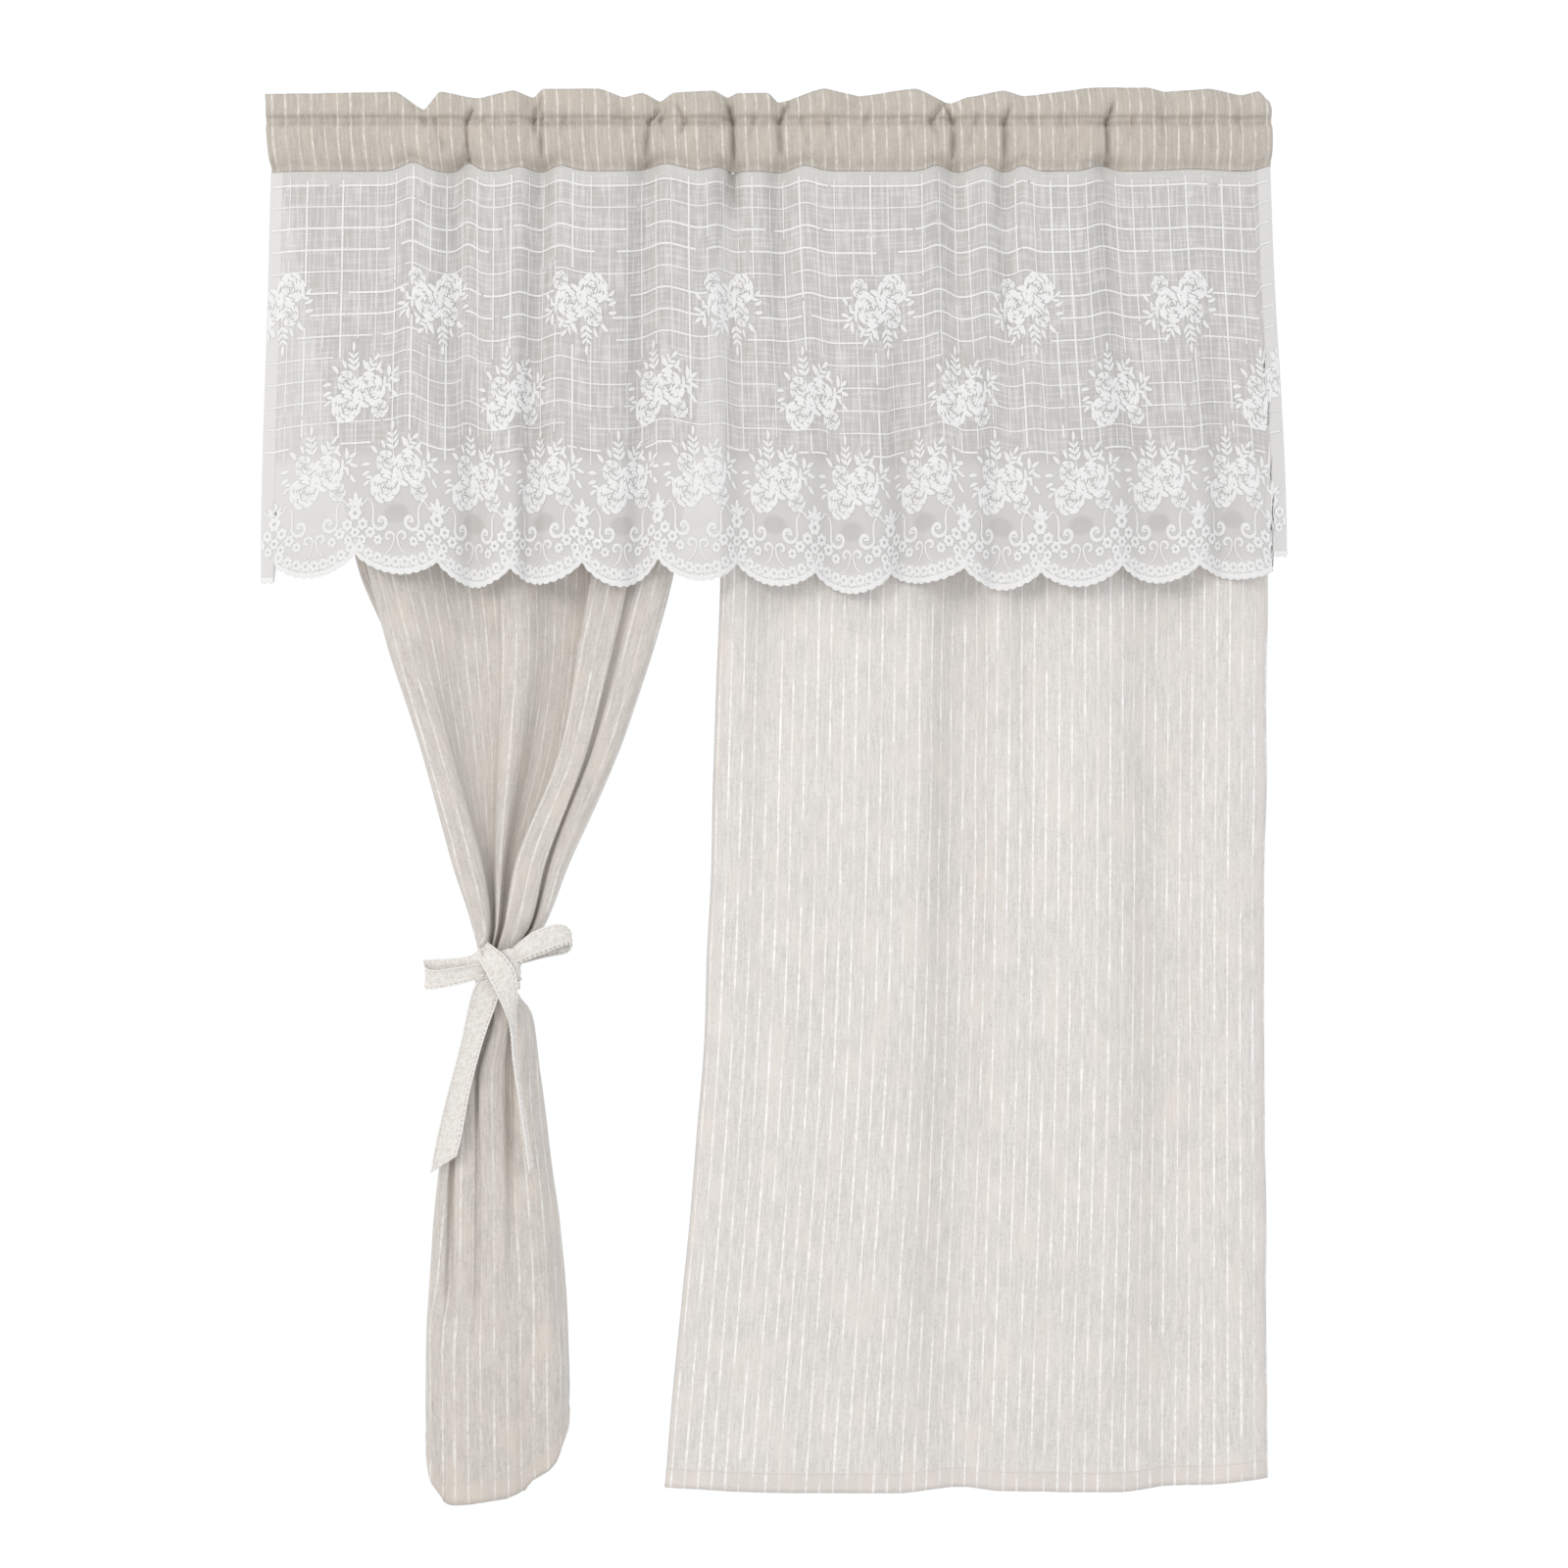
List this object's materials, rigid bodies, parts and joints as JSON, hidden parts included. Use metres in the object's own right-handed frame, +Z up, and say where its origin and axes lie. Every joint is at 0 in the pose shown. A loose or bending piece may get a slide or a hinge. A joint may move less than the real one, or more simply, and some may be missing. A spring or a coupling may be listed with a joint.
{
  "type": "cafe curtain",
  "caption": "Gathered linen cafe curtain with a ruffled rod pocket, a scalloped lace valance over its top and one of its panels tied back with a bow.",
  "frame": {"origin": "middle of the rod pocket, on the line of a rod's axis, half way along the heading", "axes": "+X along the rod to the viewer's right, -Y towards the room (the lace side), +Z up"},
  "size_m": [1.0433, 0.0867, 1.44],
  "materials": {
    "heading_linen": "matte doubled linen, striped",
    "panel_linen": "matte slubby linen with fine broken white stripes",
    "lace": "sheer patterned net with raised white flowers",
    "tie_linen": "matte plain linen"
  },
  "bodies": {
    "root": {"heading": "heading_linen", "panel_left": "panel_linen", "panel_right": "panel_linen", "lace_valance": "lace", "tie": "tie_linen"}
  },
  "joints": []
}
